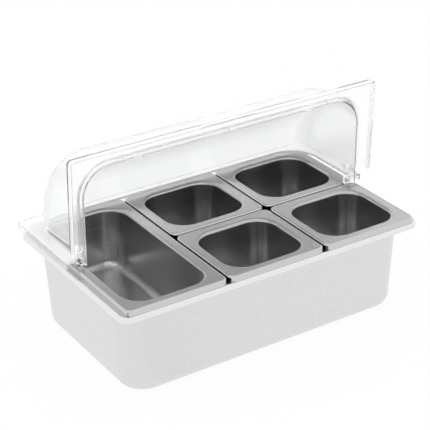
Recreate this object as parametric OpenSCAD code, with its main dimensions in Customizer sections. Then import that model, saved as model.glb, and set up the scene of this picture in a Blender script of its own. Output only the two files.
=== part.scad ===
// Condiment server: a long stainless base pan, five smaller pans hung side by side on its rim,
// and a clear roll-top cover in two nested halves. The front half turns back over the rear half.
// X runs along the base pan, Y from front to rear and Z up, from the middle of the base pan's bottom.

/* [Base pan] */
// Length of the base pan over its rim
base_l = 530; // [450:5:600]
// Width of the base pan over its rim, front to rear
base_w = 325; // [290:5:360]
// Height of the base pan
base_h = 150; // [130:5:200]
// Width of the rim, from its outer edge to the wall below it
base_rim_w = 12.5; // [10:0.5:14]
// Corner radius of the rim
base_rim_r = 16; // [8:1:24]
// Corner radius of the wall just below the rim
base_wall_r = 50; // [40:1:58]
// Round under the rim, where it bends down into the wall
base_mouth_r = 3; // [2:0.5:5]
// Round between the wall and the bottom
base_bottom_r = 19; // [10:1:22]
// Lean of the wall, in degrees
base_draft = 3.3; // [1.5:0.1:4]
// Height of the lip that hangs from the rim's edge
base_lip_h = 8; // [5:0.5:14]

/* [Inner pans] */
// Height of the inner pans, from the bottom to the top of the rim
pan_h = 100; // [65:5:110]
// Height of an inner pan's rim above the base pan's rim, which is the height of its lip
pan_lip_h = 9; // [6:0.5:14]
// Length of base rim left bare beyond the end pans
pan_inset_x = 7.5; // [4:0.5:8.5]
// Width of base rim left bare before and behind the pans
pan_inset_y = 2.5; // [1:0.5:5]
// Gap between neighbouring pans
pan_gap = 2.5; // [1:0.5:6]
// Width of an inner pan's rim, from its outer edge to the wall below it
pan_rim_w = 17.5; // [15:0.5:20]
// Corner radius of an inner pan's rim
pan_rim_r = 12; // [6:1:16]
// Corner radius of an inner pan's wall just below the rim
pan_wall_r = 35; // [30:1:45]
// Round under an inner pan's rim
pan_mouth_r = 5; // [3:0.5:7]
// Round between an inner pan's wall and its bottom
pan_bottom_r = 15; // [8:1:20]
// Lean of an inner pan's wall, in degrees
pan_draft = 4; // [2:0.5:5]

/* [Sheet metal] */
// Thickness of the pans' sheet
sheet_t = 1; // [0.8:0.1:1.4]
// Radius of the rolled edge of every rim
edge_r = 2.5; // [2:0.1:3]

/* [Cover] */
// Reach of the cover past each end of the base pan
cover_past_x = 4.5; // [1.5:0.5:8]
// Distance from the base pan's front and rear edges in to the cover
cover_inset_y = 3; // [1:0.5:4]
// Thickness of the clear walls and flanges
wall_t = 3; // [2.5:0.5:4]
// Width of the flange, from the outer face of the front half's wall to its edge
flange_w = 19; // [16:0.5:24]
// Corner radius of the flange
flange_r = 8; // [6:0.5:20]
// Round along the flange's outer edge
flange_edge_r = 2; // [1:0.25:2]
// Height of the skirt that hangs from the flange's edge and rests on the inner pans
skirt_h = 11; // [8:0.5:16]
// Thickness of the skirt
skirt_t = 3; // [2:0.25:3.5]
// Inside radius of the bend between the walls and the flange
bend_r = 7; // [4:0.5:8]
// Radius of the rounded ends of the roll top
dome_r = 52; // [35:1:70]
// Height of the pivot axis above the top of the flange
pivot_rise = 16.5; // [15:0.5:22]
// Gap between the two nested halves
nest_gap = 1; // [0.8:0.1:1.4]
// How far the front half's wall runs on past the top when it is shut, in degrees
front_past = 7.5; // [4:0.5:8]
// How far the rear half's wall runs on past the top, in degrees
rear_past = 10; // [5:0.5:14]
// Forward lean of the rear half's front edge, from its foot to the top, in degrees
rear_lean = 1.4; // [0:0.1:3]
// How far the front half is turned open, in degrees
open_turn = 86.7; // [0:0.1:87]
// Height left under the shut front half, above the inner pans
shut_gap = 0.3; // [0.1:0.1:1]
// Place of the rear half's flange ends, ahead of the pivot axis
rear_start = 3; // [1:0.5:4]
// Gap between the flange ends of the two halves when the cover is shut
flange_gap = 1; // [0.5:0.5:2]

/* [Lift tab] */
// Width of the lift tab
tab_w = 96; // [60:2:140]
// Height of the tab's straight sides
tab_side = 8; // [4:1:12]
// Reach of the tab past the flange, at its middle
tab_reach = 20; // [16:1:30]
// Thickness of the tab
tab_t = 3; // [2:0.5:4]
// Upward tilt of the tab, in degrees
tab_tilt = 28; // [0:1:40]
// Length of tab that is buried in the flange
tab_root = 4; // [3:0.5:6]

/* [Pivots] */
// Radius of the round ears at the pivots
ear_r = 12; // [9:0.5:13]
// Diameter of the pivot pins
pin_d = 8; // [5:0.5:10]
// Clearance between a pin and its bore, on the radius
pin_fit = 0.05; // [0.03:0.01:0.1]
// Diameter of the heads of the pivot pins
head_d = 14; // [12:0.5:18]
// Thickness of the heads of the pivot pins
head_t = 3; // [1.5:0.5:4]
// Free play under a pin's outer head
head_play = 0.3; // [0.1:0.1:0.5]

/* [Small features] */
// Width of a stop nub under the rear half's front edge
nub_w = 15; // [8:1:25]
// Depth of a stop nub, front to rear
nub_d = 4; // [3:0.5:8]
// Height of a stop nub below the wall
nub_h = 3.5; // [2:0.5:6]
// Place of the stop nubs, as a share of the half length of the cover
nub_share = 0.566;
// Thickness of the three ribs across the bend under the front half's long edge
rib_t = 2; // [1.5:0.5:4]
// Corner taken off a rib
rib_cut = 1.5; // [1:0.5:4]
// Place of the end ribs, as a share of the half length of the cover
rib_share = 0.67;
// Length of the foot block inside each rear end wall, which rests on the inner pans
block_l = 4.5; // [3:0.5:8]
// Depth of a foot block, front to rear
block_d = 6; // [4:0.5:10]

/* [Hidden] */
$fn = 96;
// Overrun of a cut past the face that it leaves by
cut = 0.5;
// Length by which neighbouring stretches of a wall, or of a pan's sheet, run into each other
lap = 1;
steel = [0.78, 0.79, 0.81];
clear = [0.90, 0.93, 0.95, 0.45];

// Inner pans: three equal columns, in two of which a front and a rear pan share the width
row_l = base_l - 2 * pan_inset_x;
row_w = base_w - 2 * pan_inset_y;
pan_l = (row_l - 2 * pan_gap) / 3;
pan_w = (row_w - pan_gap) / 2;
pan_step_x = pan_l + pan_gap;
pan_step_y = (pan_w + pan_gap) / 2;
pan_top = base_h + pan_lip_h;

// Cover: half length and half width of the flange, then of each half's wall
flange_hl = base_l / 2 + cover_past_x;
flange_hw = base_w / 2 - cover_inset_y;
front_hl = flange_hl - flange_w;
front_hw = flange_hw - flange_w;
rear_hl = front_hl - wall_t - nest_gap;
rear_hw = front_hw - wall_t - nest_gap;
rear_dome_r = dome_r - wall_t - nest_gap;
pivot_z = pan_top + skirt_h + pivot_rise;
block_reach = block_l + wall_t + bend_r / 2;

// Quarter of a disc, in the quadrant that the signs su and sv point to
module quarter_disc(r, su, sv) {
    intersection() {
        circle(r);
        translate([su * r / 2, sv * r / 2])
            square(r, center = true);
    }
}

// Quarter of a ring of outer radius r and thickness t
module quarter_ring(r, t, su, sv) {
    difference() {
        quarter_disc(r, su, sv);
        circle(r - t);
    }
}

// Rounded rectangle, l along X and w along Y
module plan(l, w, r) {
    square([l - 2 * r, w], center = true);
    square([l, w - 2 * r], center = true);
    for (x = [-1, 1], y = [-1, 1])
        translate([x * (l / 2 - r), y * (w / 2 - r)])
            circle(r);
}

// Carries a profile round a rounded rectangle. The profile's X starts at the corners' centres.
module loop(l, w, r) {
    for (k = [0 : 3]) {
        a = (k % 2 == 0 ? l : w) / 2 - r;
        b = (k % 2 == 0 ? w : l) / 2 - r;
        rotate(90 * k)
            translate([a, b, 0]) {
                rotate_extrude(angle = 90)
                    children();
                rotate([90, 0, 0])
                    linear_extrude(2 * b)
                        children();
            }
    }
}

// Section of a pan from its rim through the wall to the middle of its bottom
module wall_section(h, wall_r, mouth_r, bottom_r, draft) {
    mouth_z = h - sheet_t - mouth_r;
    foot_u = wall_r - (mouth_z - bottom_r) * tan(draft);
    translate([wall_r + mouth_r, mouth_z])
        quarter_ring(mouth_r + sheet_t, sheet_t, -1, 1);
    translate([wall_r + mouth_r, h - sheet_t])
        square([lap, sheet_t]);
    polygon([[wall_r - sheet_t, mouth_z], [wall_r, mouth_z], [foot_u, bottom_r],
        [foot_u - sheet_t, bottom_r]]);
    translate([foot_u - bottom_r, bottom_r])
        quarter_ring(bottom_r, sheet_t, 1, -1);
    square([foot_u - bottom_r, sheet_t]);
}

// Section of the rolled edge and the lip that hangs from it
module lip_section(h, rim_r, lip_h) {
    translate([rim_r - edge_r - lap, h - sheet_t])
        square([lap, sheet_t]);
    translate([rim_r - edge_r, h - edge_r])
        quarter_ring(edge_r, sheet_t, 1, 1);
    translate([rim_r - sheet_t, h - lip_h])
        square([sheet_t, lip_h - edge_r]);
}

// A drawn pan with its bottom's middle at the origin
module pan(l, w, h, rim_w, rim_r, wall_r, mouth_r, bottom_r, draft, lip_h) {
    in_l = l - 2 * rim_w;
    in_w = w - 2 * rim_w;
    loop(in_l, in_w, wall_r)
        wall_section(h, wall_r, mouth_r, bottom_r, draft);
    translate([0, 0, sheet_t / 2])
        cube([in_l - 2 * (wall_r - lap), in_w - 2 * (wall_r - lap), sheet_t], center = true);
    translate([0, 0, h - sheet_t])
        linear_extrude(sheet_t)
            difference() {
                plan(l - 2 * edge_r, w - 2 * edge_r, rim_r - edge_r);
                plan(in_l + 2 * mouth_r, in_w + 2 * mouth_r, wall_r + mouth_r);
            }
    loop(l, w, rim_r)
        lip_section(h, rim_r, lip_h);
}

// An inner pan of width w at its place in the row
module inner_pan(x, y, w) {
    color(steel)
        translate([x, y, pan_top - pan_h])
            pan(pan_l, w, pan_h, pan_rim_w, pan_rim_r, pan_wall_r, pan_mouth_r,
                pan_bottom_r, pan_draft, pan_lip_h);
}

// The part of a plan shape that lies behind y0
module behind(y0) {
    intersection() {
        children();
        translate([-flange_hl, y0])
            square([2 * flange_hl, flange_hw - y0]);
    }
}

// Ring between a rounded rectangle and the same one drawn in by t
module ring(hl, hw, r, t) {
    difference() {
        plan(2 * hl, 2 * hw, r);
        plan(2 * (hl - t), 2 * (hw - t), r - t);
    }
}

// Carries a profile round the rear of a rounded rectangle, and along its two ends as far as y0
module rear_loop(hl, hw, r, y0) {
    dx = hl - r;
    dy = hw - r;
    translate([-dx, dy, 0])
        rotate([90, 0, 90])
            linear_extrude(2 * dx)
                children();
    for (side = [0, 1])
        mirror([side, 0, 0])
            translate([dx, dy, 0]) {
                rotate_extrude(angle = 90)
                    children();
                rotate([90, 0, 0])
                    linear_extrude(dy - y0)
                        children();
            }
}

// Section of the bend from the wall out into the flange, whose top is at zero
module bend_section(r) {
    translate([r + bend_r, bend_r])
        quarter_ring(bend_r + wall_t, wall_t, -1, -1);
}

// Section of the flange's rounded edge with the skirt that hangs from it
module skirt_section(skirt) {
    translate([flange_r - flange_edge_r, -flange_edge_r])
        quarter_disc(flange_edge_r, 1, 1);
    translate([flange_r - flange_edge_r, -wall_t])
        square([flange_edge_r, wall_t - flange_edge_r]);
    translate([flange_r - skirt_t, -skirt])
        square([skirt_t, skirt - wall_t]);
}

// One half of the cover, drawn as the rear one, with the pivot axis on the X axis. Its flange
// starts at y0 and its wall at wall_y0. They run round the rear, and the wall runs over the top
// and on past it by past degrees.
module cover_half(hl, hw, r, y0, wall_y0, past, skirt) {
    difference() {
        union() {
            rotate([90, 0, 90])
                rotate_extrude(angle = 90 + past)
                    intersection() {
                        ring(hw, hl, r, wall_t);
                        translate([0, -hl])
                            square([hw, 2 * hl]);
                    }
            translate([0, 0, bend_r - pivot_rise])
                linear_extrude(pivot_rise - bend_r)
                    behind(wall_y0)
                        ring(hl, hw, r, wall_t);
            translate([0, 0, -pivot_rise])
                rear_loop(hl, hw, r, y0)
                    bend_section(r);
            translate([0, 0, -pivot_rise - wall_t])
                linear_extrude(wall_t)
                    behind(y0)
                        difference() {
                            plan(2 * (flange_hl - flange_edge_r), 2 * (flange_hw - flange_edge_r),
                                flange_r - flange_edge_r);
                            plan(2 * (hl + bend_r), 2 * (hw + bend_r), r + bend_r);
                        }
            translate([0, 0, -pivot_rise])
                rear_loop(flange_hl, flange_hw, flange_r, y0)
                    skirt_section(skirt);
            for (side = [-1, 1])
                translate([side * (hl - wall_t / 2), 0, 0])
                    rotate([0, 90, 0])
                        cylinder(r = ear_r, h = wall_t, center = true);
        }
        rotate([0, 90, 0])
            cylinder(r = pin_d / 2 + pin_fit, h = 2 * (hl + cut), center = true);
    }
}

// Outline of the lift tab, with its root on the X axis
module tab_outline() {
    rise = tab_reach - tab_side;
    r = (pow(tab_w / 2, 2) + pow(rise, 2)) / (2 * rise);
    translate([-tab_w / 2, 0])
        square([tab_w, tab_root + tab_side]);
    intersection() {
        translate([0, tab_root + tab_reach - r])
            circle(r);
        translate([-tab_w / 2, tab_root])
            square([tab_w, tab_reach]);
    }
}

// Outline of a rib that fills the outer round of a bend, whose two faces meet at the origin
module rib_outline() {
    r = bend_r + wall_t;
    mid = r - (bend_r + wall_t / 2) * cos(45);
    polygon([[0, r], [0, rib_cut], [rib_cut, 0], [r, 0], [r, wall_t / 2], [mid, mid],
        [wall_t / 2, r]]);
}

module pivot_pin(side) {
    inner = rear_hl - wall_t;
    outer = front_hl + head_play;
    color(clear)
        translate([0, 0, pivot_z])
            rotate([0, 90 * side, 0]) {
                translate([0, 0, inner])
                    cylinder(d = pin_d, h = outer - inner);
                translate([0, 0, inner - head_t])
                    cylinder(d = head_d, h = head_t);
                translate([0, 0, outer])
                    cylinder(d = head_d, h = head_t);
            }
}

module base_pan() {
    color(steel)
        pan(base_l, base_w, base_h, base_rim_w, base_rim_r, base_wall_r, base_mouth_r,
            base_bottom_r, base_draft, base_lip_h);
}

// All that lies ahead of the rear half's front edge, which laps inside the front half's wall
module ahead_of_rear() {
    translate([0, -rear_hw * sin(rear_past), rear_hw * cos(rear_past)])
        rotate([rear_lean, 0, 0])
            translate([-rear_hl - cut, -rear_hw, -2 * rear_hw])
                cube([2 * (rear_hl + cut), rear_hw, 3 * rear_hw]);
}

module cover_rear() {
    // Reach of the walls ahead of the pivot axis, before the front edge is cut
    lap_y = dome_r;
    foot_h = wall_t + bend_r + lap;
    color(clear)
        translate([0, 0, pivot_z]) {
            difference() {
                union() {
                    cover_half(rear_hl, rear_hw, rear_dome_r, -rear_start, -lap_y, 90, skirt_h);
                    // End walls, ahead of the flange ends
                    for (side = [-1, 1])
                        translate([side * (rear_hl - wall_t / 2), -lap_y / 2,
                                foot_h / 2 - wall_t - pivot_rise])
                            cube([wall_t, lap_y, foot_h], center = true);
                }
                ahead_of_rear();
            }
            for (side = [-1, 1]) {
                // Stop nub under the front edge
                rotate([rear_past, 0, 0])
                    translate([side * nub_share * flange_hl - nub_w / 2, 0, rear_hw - wall_t - nub_h])
                        cube([nub_w, nub_d, nub_h + wall_t / 2]);
                // Foot block inside the end wall
                translate([side * (rear_hl - wall_t - block_l + block_reach / 2),
                        block_d / 2 - rear_start, -pivot_rise - skirt_h / 2])
                    cube([block_reach, block_d, skirt_h], center = true);
            }
        }
}

module cover_front() {
    y0 = rear_start + flange_gap;
    color(clear)
        translate([0, 0, pivot_z])
            rotate([-open_turn, 0, 0])
                mirror([0, 1, 0]) {
                    cover_half(front_hl, front_hw, dome_r, y0, y0, front_past, skirt_h - shut_gap);
                    translate([0, flange_hw - tab_root, -pivot_rise])
                        rotate([tab_tilt, 0, 0])
                            translate([0, 0, -tab_t])
                                linear_extrude(tab_t)
                                    tab_outline();
                    for (place = [-rib_share, 0, rib_share])
                        translate([place * flange_hl - rib_t / 2, front_hw - wall_t,
                                -pivot_rise - wall_t])
                            rotate([90, 0, 90])
                                linear_extrude(rib_t)
                                    rib_outline();
                }
}

base_pan();
inner_pan(-pan_step_x, 0, row_w);  // third_pan
inner_pan(0, -pan_step_y, pan_w);  // sixth_pan_mid_front
inner_pan(0, pan_step_y, pan_w);  // sixth_pan_mid_rear
inner_pan(pan_step_x, -pan_step_y, pan_w);  // sixth_pan_right_front
inner_pan(pan_step_x, pan_step_y, pan_w);  // sixth_pan_right_rear
cover_rear();
cover_front();
pivot_pin(-1);  // pivot_pin_left
pivot_pin(1);  // pivot_pin_right
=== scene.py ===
"""Condiment server: steel pans and a clear roll-top cover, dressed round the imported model.

Everything is in metres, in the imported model's own frame: X along the base pan, Y to the rear, Z up.
"""

import math

import bpy
from mathutils import Matrix, Vector


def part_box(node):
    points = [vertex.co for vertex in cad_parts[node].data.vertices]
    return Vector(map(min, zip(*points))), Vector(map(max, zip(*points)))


# Camera, fitted to the corners and edges of the object in the photograph
IMAGE_PX = 430
FOCAL_PX = 1482.18
CENTRE_PX = (256.85, 202.13)
SENSOR_MM = 36
AZIMUTH = math.radians(-33.96)
ELEVATION = math.radians(26.56)
ROLL = math.radians(-0.29)
DISTANCE = 2.32442
TARGET = Vector((0.06795, 0, 0.17319))

# Studio: floor, lamp, and the room's soft light, of which 1 is white
FLOOR_SIZE = 12
FLOOR_DROP = 0.0004
FLOOR_GLOW = 0.94
LAMP_SIZE = 1.6
LAMP_POWER = 12
LAMP_PLACE = Vector((-1.2, -0.6, 2.6))
ROOM_LIGHT = 1.0
# Each pan's height of lip and radius of its rim's corners, as in the model
BASE = (0.008, 0.016)
INNER = (0.009, 0.012)
PANS = {
    "base_pan": BASE,
    "third_pan": INNER,
    "sixth_pan_mid_front": INNER,
    "sixth_pan_mid_rear": INNER,
    "sixth_pan_right_front": INNER,
    "sixth_pan_right_rear": INNER,
}
# Lean of the rim's face by distance in from its outer edge: 0.5 is none, more leans it outward.
# It ends where the lip turns down, at a share of the lip's height.
RIM_BEAD = [(-0.0075, 0.50), (-0.0062, 0.42), (-0.0050, 0.50), (-0.0034, 0.90), (0.0, 0.90)]
RIM_REACH = 0.02
BEAD_SHARE = 0.12
# Width of the polished rolled edge, how much lighter its colour is made as a painted highlight, and
# how much smoother it is than the satin steel
EDGE_WIDTH = 0.0028
EDGE_PAINTED_HIGHLIGHT = 0.08
EDGE_SMOOTHER = 0.12
# Half length and width of the part of the inner pans' row where their lips face each other
ROW_INSIDE = (0.2545, 0.157)
# Half length of the middle pair, whose own gap gets no painted shade, and depth at which the painted
# shade starts
MIDDLE_HALF = 0.082
GAP_DEPTH = 0.0018
# Grey of the painted shade in the gaps between the inner pans' lips, put into their base colour
GAP_PAINTED_SHADE = 0.15
# Grey of the base pan and of the inner pans, whose darker grey is painted shade on the same steel,
# and how far the speckle takes it up and down
STEEL_GREY = 0.74
INNER_SHADED_GREY = 0.52
SPECKLE_GREY = 0.03
SPECKLE_SCALE = 450
GRAIN_SCALE = 40
GRAIN_STRETCH = (0.1, 12, 12)
GRAIN_ROUGHNESS = (0.23, 0.27)
COVERS = ["cover_rear", "cover_front"]
CLEAR_IOR = 1.30
CLEAR_COLOUR = (0.996, 0.998, 1, 1)
CLEAR_ROUGHNESS = (0.0, 0.02)
# Haze: the share of light that is scattered white, over all and in places. Two numbers for an end
# wall or the top are how far a face points along X or Z where its haze starts and is whole.
COVER_HAZE = 0.01
PIN_HAZE = 0.30
# On the end walls the haze is a painted sheen, standing in for glancing reflections
END_PAINTED_SHEEN = 0.16
END_FACING = (0.6, 0.95)
TOP_HAZE = 0.34
TOP_FACING = (0.2, 0.8)
TAB_HAZE = 0.10
TAB_START = 0.346
FLANGE_HAZE = 0.40
FLANGE_TOP = 0.200
FLANGE_FACING = 0.7
PINS = ["pivot_pin_left", "pivot_pin_right"]


def add(tree, kind, x=0, **sockets):
    """Adds a node of that kind and sets the named input sockets to values."""
    made = tree.nodes.new("ShaderNode" + kind)
    made.location = (x, 0)
    for name, value in sockets.items():
        made.inputs[name.replace("_", " ")].default_value = value
    return made


def math_node(tree, operation, first, second):
    """A math node, each of whose two inputs is a socket or a number."""
    made = add(tree, "Math")
    made.operation = operation
    for socket, value in zip(made.inputs, (first, second)):
        if isinstance(value, (int, float)):
            socket.default_value = value
        else:
            tree.links.new(value, socket)
    return made.outputs[0]


def mix_colour(tree, share, first, second):
    """A mix of two colours. Each is a socket or a grey, and the share is a socket."""
    made = add(tree, "Mix")
    made.data_type = "RGBA"
    tree.links.new(share, made.inputs["Factor"])
    for name, value in (("A", first), ("B", second)):
        if isinstance(value, (int, float)):
            made.inputs[name].default_value = (value, value, value, 1)
        else:
            tree.links.new(value, made.inputs[name])
    return made.outputs["Result"]


def new_material(name):
    """A material with an empty node tree and its output node."""
    material = bpy.data.materials.new(name)
    material.use_nodes = True
    tree = material.node_tree
    tree.nodes.clear()
    return material, tree, add(tree, "OutputMaterial", 800)


def ramp(tree, value, stops, low=0.0, high=1.0):
    """A smooth ramp through grey stops, given as (place, grey), for a value from low to high."""
    made = add(tree, "ValToRGB")
    made.color_ramp.interpolation = "EASE"
    elements = made.color_ramp.elements
    while len(elements) < len(stops):
        elements.new(0.5)
    for element, (place, grey) in zip(elements, stops):
        element.position = (place - low) / (high - low)
        element.color = (grey, grey, grey, 1)
    scaled = add(tree, "MapRange", From_Min=low, From_Max=high)
    tree.links.new(value, scaled.inputs["Value"])
    tree.links.new(scaled.outputs[0], made.inputs["Fac"])
    return made.outputs["Color"]


def make_camera():
    back = Vector((
        math.sin(AZIMUTH) * math.cos(ELEVATION),
        -math.cos(AZIMUTH) * math.cos(ELEVATION),
        math.sin(ELEVATION),
    ))
    level = Vector((math.cos(AZIMUTH), math.sin(AZIMUTH), 0))
    upright = back.cross(level)
    right = math.cos(ROLL) * level + math.sin(ROLL) * upright
    up = math.cos(ROLL) * upright - math.sin(ROLL) * level
    data = bpy.data.cameras.new("camera")
    data.sensor_width = SENSOR_MM
    data.lens = FOCAL_PX / IMAGE_PX * SENSOR_MM
    data.shift_x = (IMAGE_PX / 2 - CENTRE_PX[0]) / IMAGE_PX
    data.shift_y = (CENTRE_PX[1] - IMAGE_PX / 2) / IMAGE_PX
    data.clip_end = 100
    camera = bpy.data.objects.new("camera", data)
    turn = Matrix((right, up, back)).transposed().to_4x4()
    camera.matrix_world = Matrix.Translation(TARGET + DISTANCE * back) @ turn
    bpy.context.scene.collection.objects.link(camera)
    bpy.context.scene.camera = camera


def seen_white(tree):
    """Whether a ray shows the background: from the camera, off metal or through clear plastic."""
    rays = add(tree, "LightPath")
    return math_node(tree, "MAXIMUM", rays.outputs["Is Camera Ray"],
                     math_node(tree, "MAXIMUM", rays.outputs["Is Glossy Ray"],
                               rays.outputs["Is Transmission Ray"]))


def make_world():
    """Plain soft light, and a white background that metal and plastic show too."""
    world = bpy.data.worlds.new("studio")
    bpy.context.scene.world = world
    world.use_nodes = True
    tree = world.node_tree
    tree.nodes.clear()
    light = add(tree, "Background", Strength=1.0)
    tree.links.new(mix_colour(tree, seen_white(tree), ROOM_LIGHT, 1.0), light.inputs["Color"])
    tree.links.new(light.outputs[0], add(tree, "OutputWorld", 400).inputs["Surface"])


def make_plane(name, corners, material):
    mesh = bpy.data.meshes.new(name)
    mesh.from_pydata(corners, [], [tuple(range(len(corners)))])
    plane = bpy.data.objects.new(name, mesh)
    plane.data.materials.append(material)
    bpy.context.scene.collection.objects.link(plane)


def floor_material():
    material, tree, output = new_material("floor_white")
    link = tree.links.new
    paper = add(tree, "BsdfDiffuse", Color=(0.9, 0.9, 0.9, 1))
    glow = add(tree, "Emission", Strength=1.0)
    share = math_node(tree, "MULTIPLY", seen_white(tree), FLOOR_GLOW)
    mix = add(tree, "MixShader")
    link(share, mix.inputs["Fac"])
    link(paper.outputs[0], mix.inputs[1])
    link(glow.outputs[0], mix.inputs[2])
    link(mix.outputs[0], output.inputs["Surface"])
    return material


def make_stage():
    half = FLOOR_SIZE / 2
    z = -FLOOR_DROP
    make_plane("floor", [(-half, -half, z), (half, -half, z), (half, half, z), (-half, half, z)],
               floor_material())


def make_lamp():
    data = bpy.data.lights.new("soft_lamp", "AREA")
    data.size = LAMP_SIZE
    data.energy = LAMP_POWER
    lamp = bpy.data.objects.new("soft_lamp", data)
    lamp.location = LAMP_PLACE
    lamp.rotation_euler = (TARGET - LAMP_PLACE).to_track_quat("-Z", "Y").to_euler()
    lamp.visible_glossy = False
    bpy.context.scene.collection.objects.link(lamp)


def noise(tree, scale, stretch=(1, 1, 1), detail=2.0):
    """Noise in the object's own coordinates, at that many waves to the metre."""
    place = add(tree, "TexCoord")
    mapping = add(tree, "Mapping", Scale=stretch)
    tree.links.new(place.outputs["Object"], mapping.inputs["Vector"])
    made = add(tree, "TexNoise", Scale=scale, Detail=detail)
    tree.links.new(mapping.outputs[0], made.inputs["Vector"])
    return made.outputs["Fac"]


def ranged(tree, value, low, high):
    """The noise value, spread over low to high."""
    made = add(tree, "MapRange", From_Min=0.3, From_Max=0.7, To_Min=low, To_Max=high)
    tree.links.new(value, made.inputs["Value"])
    return made.outputs[0]


def vector_node(tree, operation, first, second=(0, 0, 0)):
    """A vector math node, each of whose two inputs is a socket or three numbers."""
    made = add(tree, "VectorMath")
    made.operation = operation
    for socket, value in zip(made.inputs, (first, second)):
        if isinstance(value, (tuple, Vector)):
            socket.default_value = value
        else:
            tree.links.new(value, socket)
    return made.outputs["Value" if operation == "LENGTH" else "Vector"]


def scaled_vector(tree, vector, size):
    made = add(tree, "VectorMath")
    made.operation = "SCALE"
    if isinstance(vector, tuple):
        made.inputs[0].default_value = vector
    else:
        tree.links.new(vector, made.inputs[0])
    tree.links.new(size, made.inputs["Scale"])
    return made.outputs["Vector"]


def rim_place(tree, node, corner):
    """Where a point lies on that pan's rim, in the pan's own coordinates.

    Returns the distance from the rim's outline, less than zero inside it, the way out to it,
    and the depth below the top of the rim.
    """
    low, high = (Vector(end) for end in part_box(node))
    middle, half = (low + high) / 2, (high - low) / 2
    here = add(tree, "TexCoord").outputs["Object"]
    from_middle = vector_node(tree, "SUBTRACT", here, (middle.x, middle.y, 0))
    flat = vector_node(tree, "MULTIPLY", from_middle, (1, 1, 0))
    past = vector_node(tree, "SUBTRACT", vector_node(tree, "ABSOLUTE", flat),
                       (half.x - corner, half.y - corner, 0))
    beyond = vector_node(tree, "MAXIMUM", past)
    parts = add(tree, "SeparateXYZ")
    tree.links.new(past, parts.inputs[0])
    within = math_node(tree, "MINIMUM",
                       math_node(tree, "MAXIMUM", parts.outputs["X"], parts.outputs["Y"]), 0)
    distance = math_node(tree, "ADD", vector_node(tree, "LENGTH", beyond), within)
    distance = math_node(tree, "SUBTRACT", distance, corner)
    way = vector_node(tree, "MULTIPLY", beyond, vector_node(tree, "SIGN", flat))
    way = vector_node(tree, "NORMALIZE", way)
    height = add(tree, "SeparateXYZ")
    tree.links.new(here, height.inputs[0])
    depth = math_node(tree, "SUBTRACT", high.z, height.outputs["Z"])
    return distance, way, depth


def painted_gap_shade_place(tree, depth):
    """Whether a point lies below the rolled edges in the gaps between the inner pans, where shade is
    painted.

    The narrow gap between the middle pair gets no painted shade, because it doesn't look dark.
    """
    parts = add(tree, "SeparateXYZ")
    here = add(tree, "TexCoord").outputs["Object"]
    tree.links.new(vector_node(tree, "ABSOLUTE", here), parts.inputs[0])
    across = math_node(tree, "LESS_THAN", parts.outputs["Y"], ROW_INSIDE[1])
    along = math_node(tree, "LESS_THAN", parts.outputs["X"], ROW_INSIDE[0])
    outer = math_node(tree, "GREATER_THAN", parts.outputs["X"], MIDDLE_HALF)
    inside = math_node(tree, "MULTIPLY", math_node(tree, "MULTIPLY", along, outer), across)
    return math_node(tree, "MULTIPLY", inside, math_node(tree, "GREATER_THAN", depth, GAP_DEPTH))


def steel_material(node, lip_h, corner):
    """Satin stainless steel: a fine speckle, a bead along the rim, a polished rolled edge with a
    painted highlight, painted shade in the gaps between the pans, and for the inner pans a darker
    grey that is painted shade.
    """
    material, tree, output = new_material("satin_steel_" + node)
    link = tree.links.new
    distance, way, depth = rim_place(tree, node, corner)
    edge = math_node(tree, "GREATER_THAN", distance, -EDGE_WIDTH)
    # Painted shade: the rolled edges in the gaps between the inner pans get a dark base colour
    gap = math_node(tree, "MULTIPLY", edge, painted_gap_shade_place(tree, depth))
    share = math_node(tree, "DIVIDE", depth, lip_h)
    bead = math_node(tree, "SUBTRACT", ramp(tree, distance, RIM_BEAD, -RIM_REACH, 0), 0.5)
    bead = math_node(tree, "MULTIPLY", bead, math_node(tree, "LESS_THAN", share, BEAD_SHARE))
    speckle = noise(tree, SPECKLE_SCALE)
    bump = add(tree, "Bump", Strength=0.02, Distance=0.0002)
    link(speckle, bump.inputs["Height"])
    tilt = scaled_vector(tree, way, bead)
    normal = vector_node(tree, "NORMALIZE", vector_node(tree, "ADD", bump.outputs[0], tilt))
    steel = add(tree, "BsdfPrincipled", Metallic=1.0)
    # The inner pans' darker grey is painted shade, standing in for the darker reflections on their
    # rims
    grey = STEEL_GREY if node == "base_pan" else INNER_SHADED_GREY
    satin = mix_colour(tree, ranged(tree, speckle, 0, 1), grey - SPECKLE_GREY, grey + SPECKLE_GREY)
    # Painted highlight: the rolled edge's base colour is lightened
    edge_highlighted_colour = mix_colour(tree, edge, satin, grey + EDGE_PAINTED_HIGHLIGHT)
    # Painted shade in the gaps between the inner pans goes into the base colour here
    link(mix_colour(tree, gap, edge_highlighted_colour, GAP_PAINTED_SHADE), steel.inputs["Base Color"])
    grain = ranged(tree, noise(tree, GRAIN_SCALE, GRAIN_STRETCH, 3.0), *GRAIN_ROUGHNESS)
    rough = math_node(tree, "SUBTRACT", grain, math_node(tree, "MULTIPLY", edge, EDGE_SMOOTHER))
    link(rough, steel.inputs["Roughness"])
    link(normal, steel.inputs["Normal"])
    link(steel.outputs[0], output.inputs["Surface"])
    return material


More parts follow.
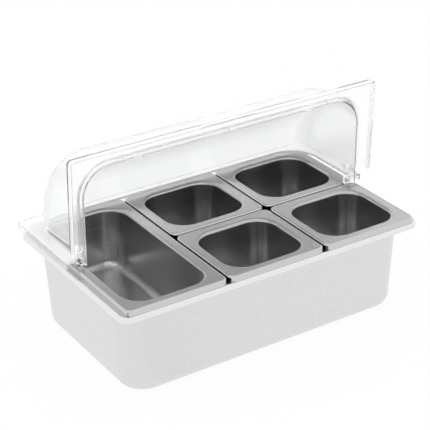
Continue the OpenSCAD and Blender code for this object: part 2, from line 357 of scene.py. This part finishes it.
def haze_and_painted_sheen(tree):
    """More haze on the cover's end walls, top, level flanges and lift tab. On the end walls it is a
    painted sheen, whitening the faces that point along X.
    """
    place = add(tree, "TexCoord")
    facing = add(tree, "SeparateXYZ")
    tree.links.new(vector_node(tree, "ABSOLUTE", place.outputs["Normal"]), facing.inputs[0])
    here = add(tree, "SeparateXYZ")
    tree.links.new(place.outputs["Object"], here.inputs[0])
    # Painted sheen: haze on the faces that point along X, the end walls
    ends = add(tree, "MapRange", From_Min=END_FACING[0], From_Max=END_FACING[1],
               To_Max=END_PAINTED_SHEEN)
    tree.links.new(facing.outputs["X"], ends.inputs["Value"])
    top = add(tree, "MapRange", From_Min=TOP_FACING[0], From_Max=TOP_FACING[1],
              To_Max=TOP_HAZE)
    tree.links.new(facing.outputs["Z"], top.inputs["Value"])
    low = math_node(tree, "LESS_THAN", here.outputs["Z"], FLANGE_TOP)
    level = math_node(tree, "GREATER_THAN", facing.outputs["Z"], FLANGE_FACING)
    flange = math_node(tree, "MULTIPLY", math_node(tree, "MULTIPLY", low, level), FLANGE_HAZE)
    high = math_node(tree, "GREATER_THAN", here.outputs["Z"], TAB_START)
    tab = math_node(tree, "MULTIPLY", high, TAB_HAZE)
    walls = math_node(tree, "MAXIMUM", ends.outputs[0], top.outputs[0])
    return math_node(tree, "MAXIMUM", math_node(tree, "MAXIMUM", walls, flange), tab)


def clear_material(name, haze):
    """Clear polycarbonate, which lets lamps and soft light through.

    The haze is the share of light that it scatters white, besides the extra haze and painted sheen
    placed on the cover.
    """
    material, tree, output = new_material(name)
    link = tree.links.new
    clear = add(tree, "BsdfPrincipled", Base_Color=CLEAR_COLOUR, IOR=CLEAR_IOR)
    passing = math_node(tree, "SUBTRACT", 1 - haze, haze_and_painted_sheen(tree))
    link(passing, clear.inputs["Transmission Weight"])
    link(ranged(tree, noise(tree, 60), *CLEAR_ROUGHNESS), clear.inputs["Roughness"])
    wave = add(tree, "Bump", Strength=0.01, Distance=0.0005)
    link(noise(tree, 25), wave.inputs["Height"])
    link(wave.outputs[0], clear.inputs["Normal"])
    rays = add(tree, "LightPath")
    passed = math_node(tree, "MAXIMUM", rays.outputs["Is Shadow Ray"],
                       rays.outputs["Is Diffuse Ray"])
    mix = add(tree, "MixShader")
    link(passed, mix.inputs["Fac"])
    link(clear.outputs[0], mix.inputs[1])
    link(add(tree, "BsdfTransparent").outputs[0], mix.inputs[2])
    link(mix.outputs[0], output.inputs["Surface"])
    return material


def dress(name, material):
    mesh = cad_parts[name].data
    mesh.materials.clear()
    mesh.materials.append(material)


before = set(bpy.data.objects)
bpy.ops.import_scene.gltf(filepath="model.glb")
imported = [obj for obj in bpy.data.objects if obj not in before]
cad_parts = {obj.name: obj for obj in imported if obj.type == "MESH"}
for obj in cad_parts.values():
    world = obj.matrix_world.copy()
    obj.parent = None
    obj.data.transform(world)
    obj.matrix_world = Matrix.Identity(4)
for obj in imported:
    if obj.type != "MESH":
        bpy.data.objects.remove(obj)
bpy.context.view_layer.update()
bpy.context.scene.view_settings.view_transform = "Standard"
make_camera()
make_world()
make_stage()
make_lamp()
for pan, rim in PANS.items():
    dress(pan, steel_material(pan, *rim))
clear = clear_material("clear_polycarbonate", COVER_HAZE)
for cover in COVERS:
    dress(cover, clear)
frosted = clear_material("frosted_polycarbonate", PIN_HAZE)
for pin in PINS:
    dress(pin, frosted)
